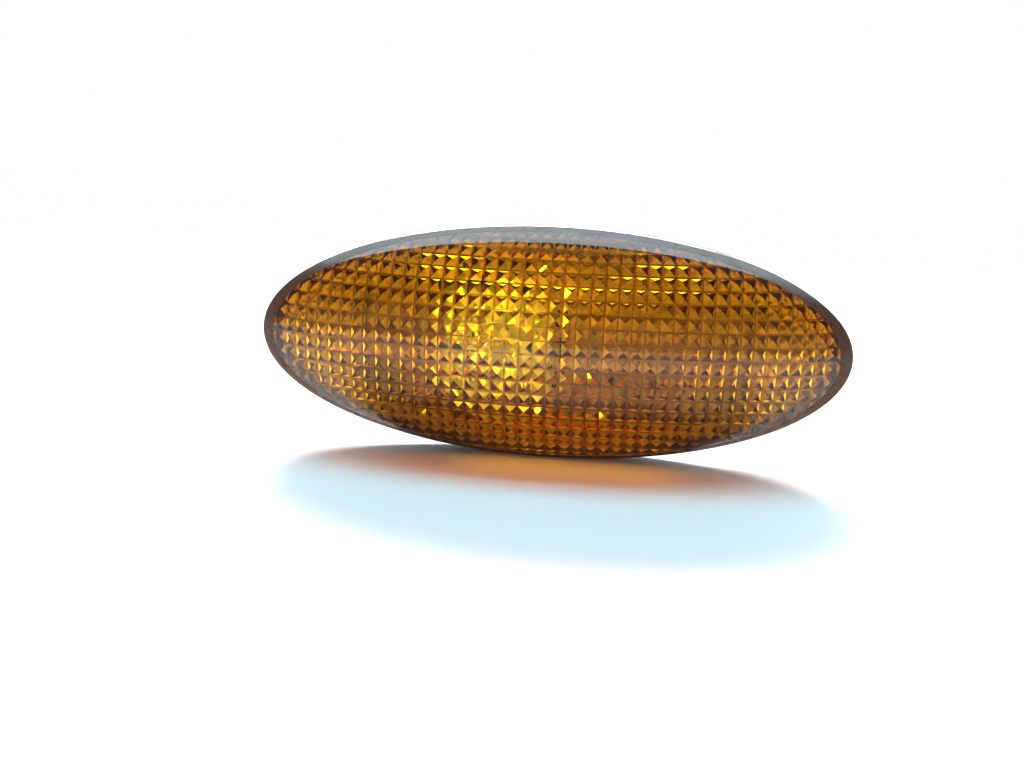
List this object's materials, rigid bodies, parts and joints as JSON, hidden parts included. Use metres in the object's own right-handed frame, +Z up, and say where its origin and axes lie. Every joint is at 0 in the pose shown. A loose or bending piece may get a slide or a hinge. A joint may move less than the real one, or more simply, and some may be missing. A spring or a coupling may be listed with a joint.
{
  "type": "side repeater lamp",
  "caption": "Oval domed amber side indicator lamp with a square prism grid inside its lens, dark clip-in housing, panel gasket and twist-out wedge-bulb holder.",
  "frame": {"origin": "middle of the lens outline, on the outer face of the body panel (the back of the gasket)", "axes": "+X along the lamp to the right as seen from outside the car, +Z up, +Y into the car; the lens faces -Y"},
  "size_m": [0.1, 0.0497, 0.0396],
  "materials": {
    "amber_lens": "clear amber, polished outside, prisms inside",
    "dark_moulding": "fine moulded grain",
    "soft_seal": "matt",
    "spring_steel": "bright zinc",
    "pale_moulding": "natural nylon, slightly translucent",
    "contact_brass": "bright strip",
    "clear_glass": "clear",
    "tungsten": "dull coil",
    "lead_wire": "drawn wire"
  },
  "bodies": {
    "lamp": {"lens": "amber_lens", "housing": "dark_moulding", "panel_gasket": "soft_seal", "retaining_spring": "spring_steel"},
    "holder": {"bulb_holder": "pale_moulding", "holder_seal": "soft_seal", "contact_left": "contact_brass", "contact_right": "contact_brass", "bulb_glass": "clear_glass", "filament": "tungsten", "bulb_lead_left": "lead_wire", "bulb_lead_right": "lead_wire"}
  },
  "joints": [
    {"name": "bulb_holder_turn", "type": "hinge", "parent": "lamp", "child": "holder", "pos_m": [-0.0095, 0.003, -0.0012], "axis": [0, 1, 0], "range_deg": [0, 45]}
  ]
}
